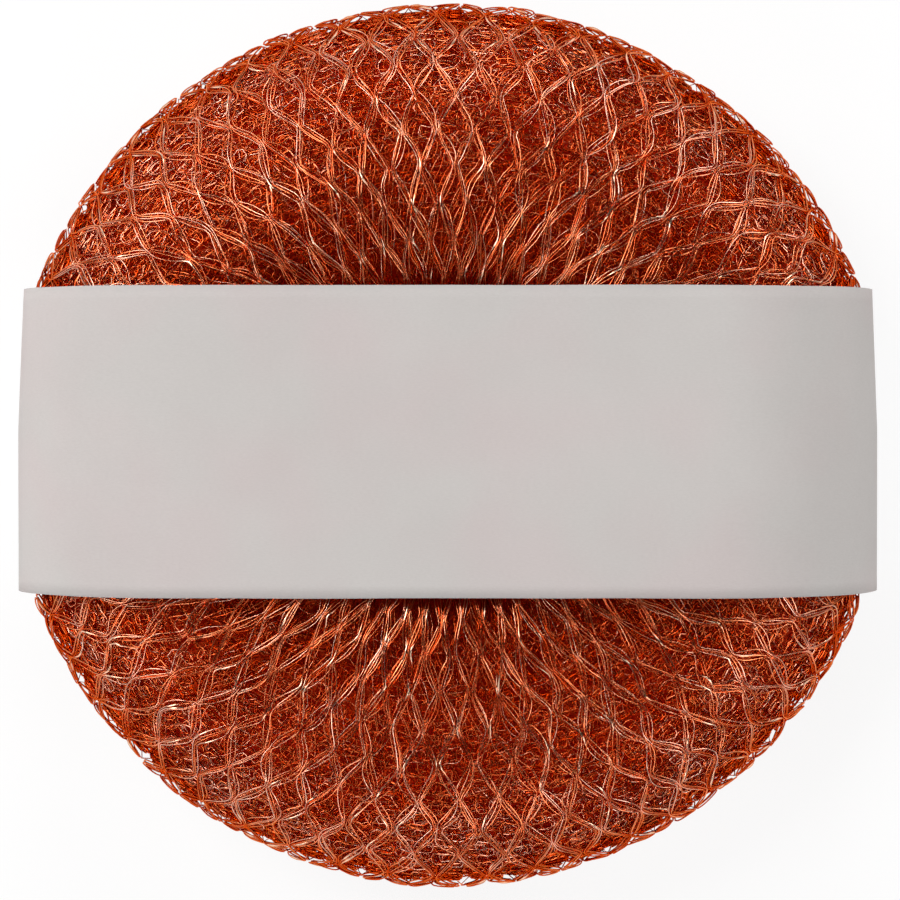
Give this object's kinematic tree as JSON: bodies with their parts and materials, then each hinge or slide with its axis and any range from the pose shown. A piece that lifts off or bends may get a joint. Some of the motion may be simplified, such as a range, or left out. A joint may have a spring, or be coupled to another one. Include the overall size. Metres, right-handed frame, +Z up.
{
  "type": "pot sponge",
  "caption": "Round knitted copper-wire pot scourer: a rolled wire stocking under an open net gathered at the middle, held in a wide paper belly band that slides off.",
  "frame": {"origin": "middle of the underside of the band, on the surface that the scourer lies on", "axes": "+Z up along the pad's own axis, +Y across the band, the way that the band slides off, +X along the band"},
  "size_m": [0.1182, 0.12, 0.0422],
  "materials": {
    "copper_wire": "bright drawn copper wire, flattened, glinting",
    "rolled_copper_knit": "loosely knitted copper wire, mostly air, dark red-brown in its depth",
    "tie_wire": "bright copper wire",
    "band_card": "uncoated pale grey card",
    "lap_glue": "dried adhesive film"
  },
  "bodies": {
    "scourer": {"outer_net": "copper_wire", "rolled_core": "rolled_copper_knit", "centre_tie": "tie_wire"},
    "band": {"paper_band": "band_card", "glue_strip": "lap_glue"}
  },
  "joints": [
    {"name": "band_slide", "type": "slide", "parent": "scourer", "child": "band", "axis": [0, 1, 0], "range_m": [-0.085, 0.085]}
  ]
}
